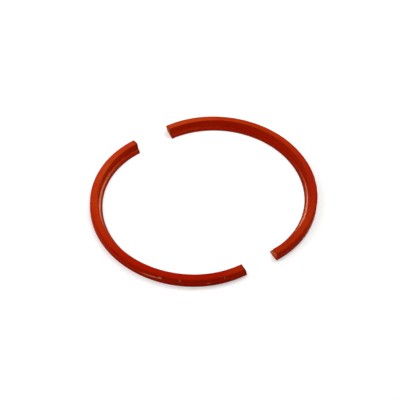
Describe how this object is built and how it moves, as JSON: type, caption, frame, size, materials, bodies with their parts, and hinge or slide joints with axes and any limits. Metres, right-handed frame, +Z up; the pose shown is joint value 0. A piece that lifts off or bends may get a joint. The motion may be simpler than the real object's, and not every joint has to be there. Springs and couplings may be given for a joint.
{
  "type": "rear main seal",
  "caption": "Split crankshaft rear main seal: moulded silicone half rings with an inner sealing lip, lying flat and pulled a little apart.",
  "frame": {"origin": "middle of the pair's footprint, on the surface that it lies on", "axes": "+Z up along the seal's own axis, lips at the bottom; X across the split, upper half at +X; Y along the split"},
  "size_m": [0.1006, 0.0868, 0.0046],
  "materials": {
    "silicone_rubber": "smooth moulded, semi-gloss"
  },
  "bodies": {
    "root": {"upper_seal_half": "silicone_rubber", "lower_seal_half": "silicone_rubber"}
  },
  "joints": []
}
